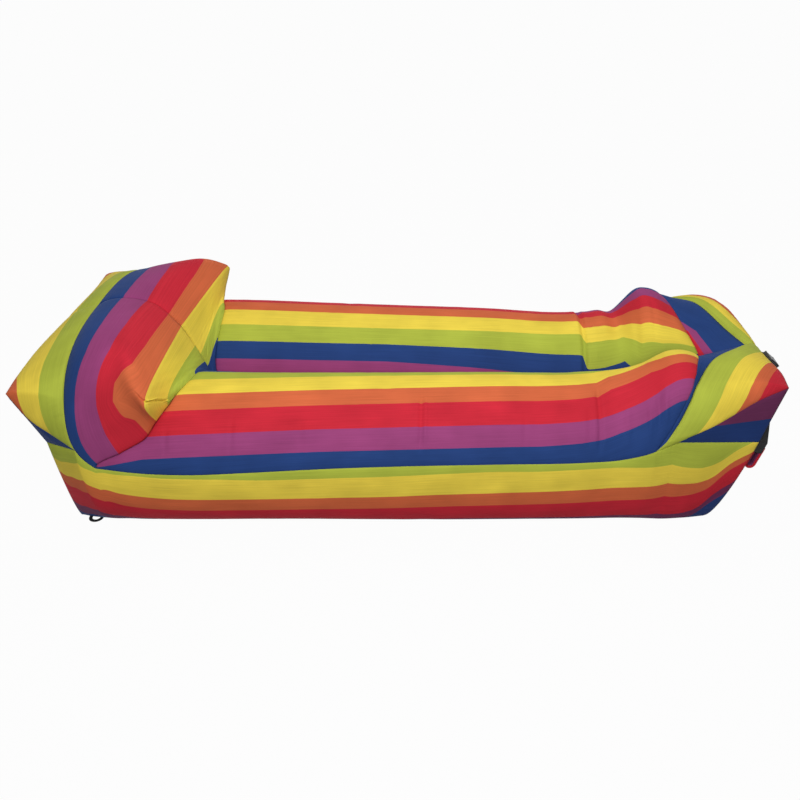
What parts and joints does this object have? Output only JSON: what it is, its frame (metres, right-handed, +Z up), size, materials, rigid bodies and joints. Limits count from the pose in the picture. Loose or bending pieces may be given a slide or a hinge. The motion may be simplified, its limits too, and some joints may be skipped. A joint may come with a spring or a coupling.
{
  "type": "inflatable air lounger",
  "caption": "Inflatable lounger: side-by-side air tubes with a lying channel, a pillow across the head end, and a rolled mouth closed by a side release buckle.",
  "frame": {"origin": "on the ground under the middle of the whole length and width", "axes": "+X towards the foot end with the rolled mouth, +Y towards the far side, +Z up"},
  "size_m": [2.0606, 0.8872, 0.5377],
  "materials": {
    "near_tube_panel": "thin coated polyester, slight sheen",
    "far_tube_panel": "thin coated polyester, slight sheen",
    "near_pillow_panel": "thin coated polyester, slight sheen",
    "far_pillow_panel": "thin coated polyester, slight sheen",
    "head_end_panel": "thin coated polyester, slight sheen",
    "near_head_gusset": "thin coated polyester, slight sheen",
    "far_head_gusset": "thin coated polyester, slight sheen",
    "head_under_panel": "thin coated polyester, slight sheen",
    "near_foot_band": "thin coated polyester, slight sheen",
    "far_foot_band": "thin coated polyester, slight sheen",
    "near_foot_lobe": "thin coated polyester, slight sheen",
    "far_foot_lobe": "thin coated polyester, slight sheen",
    "near_foot_gusset": "thin coated polyester, slight sheen",
    "far_foot_gusset": "thin coated polyester, slight sheen",
    "foot_under_panel": "thin coated polyester, slight sheen",
    "near_side_panel": "thin coated polyester, slight sheen",
    "far_side_panel": "thin coated polyester, slight sheen",
    "base_panel": "thin coated polyester, slight sheen",
    "near_liner": "clear thin film",
    "far_liner": "clear thin film",
    "mouth_roll": "thin coated polyester, rolled",
    "inner_mouth_strip": "smooth",
    "outer_mouth_strip": "smooth",
    "near_strap": "woven webbing",
    "far_strap": "woven webbing",
    "buckle_socket": "fine grain",
    "buckle_clip": "fine grain",
    "upper_prong": "fine grain",
    "lower_prong": "fine grain",
    "stake_loop": "woven webbing"
  },
  "bodies": {
    "lounger": {"near_tube_panel": "near_tube_panel", "far_tube_panel": "far_tube_panel", "near_pillow_panel": "near_pillow_panel", "far_pillow_panel": "far_pillow_panel", "head_end_panel": "head_end_panel", "near_head_gusset": "near_head_gusset", "far_head_gusset": "far_head_gusset", "head_under_panel": "head_under_panel", "near_foot_band": "near_foot_band", "far_foot_band": "far_foot_band", "near_foot_lobe": "near_foot_lobe", "far_foot_lobe": "far_foot_lobe", "near_foot_gusset": "near_foot_gusset", "far_foot_gusset": "far_foot_gusset", "foot_under_panel": "foot_under_panel", "near_side_panel": "near_side_panel", "far_side_panel": "far_side_panel", "base_panel": "base_panel", "near_liner": "near_liner", "far_liner": "far_liner", "mouth_roll": "mouth_roll", "inner_mouth_strip": "inner_mouth_strip", "outer_mouth_strip": "outer_mouth_strip", "near_strap": "near_strap", "far_strap": "far_strap", "buckle_socket": "buckle_socket", "buckle_clip": "buckle_clip", "stake_loop": "stake_loop"},
    "upper_prong": {"upper_prong": "upper_prong"},
    "lower_prong": {"lower_prong": "lower_prong"}
  },
  "joints": [
    {"name": "upper_prong_squeeze", "type": "hinge", "parent": "lounger", "child": "upper_prong", "pos_m": [1.00376, -0.0482, 0.39728], "axis": [0.6428, 0, 0.766], "range_deg": [0, 10], "stiffness_Nm_per_rad": 0.05},
    {"name": "lower_prong_squeeze", "type": "hinge", "parent": "lounger", "child": "lower_prong", "pos_m": [1.02399, -0.0482, 0.38032], "axis": [-0.6428, 0, -0.766], "range_deg": [0, 10], "stiffness_Nm_per_rad": 0.05}
  ]
}
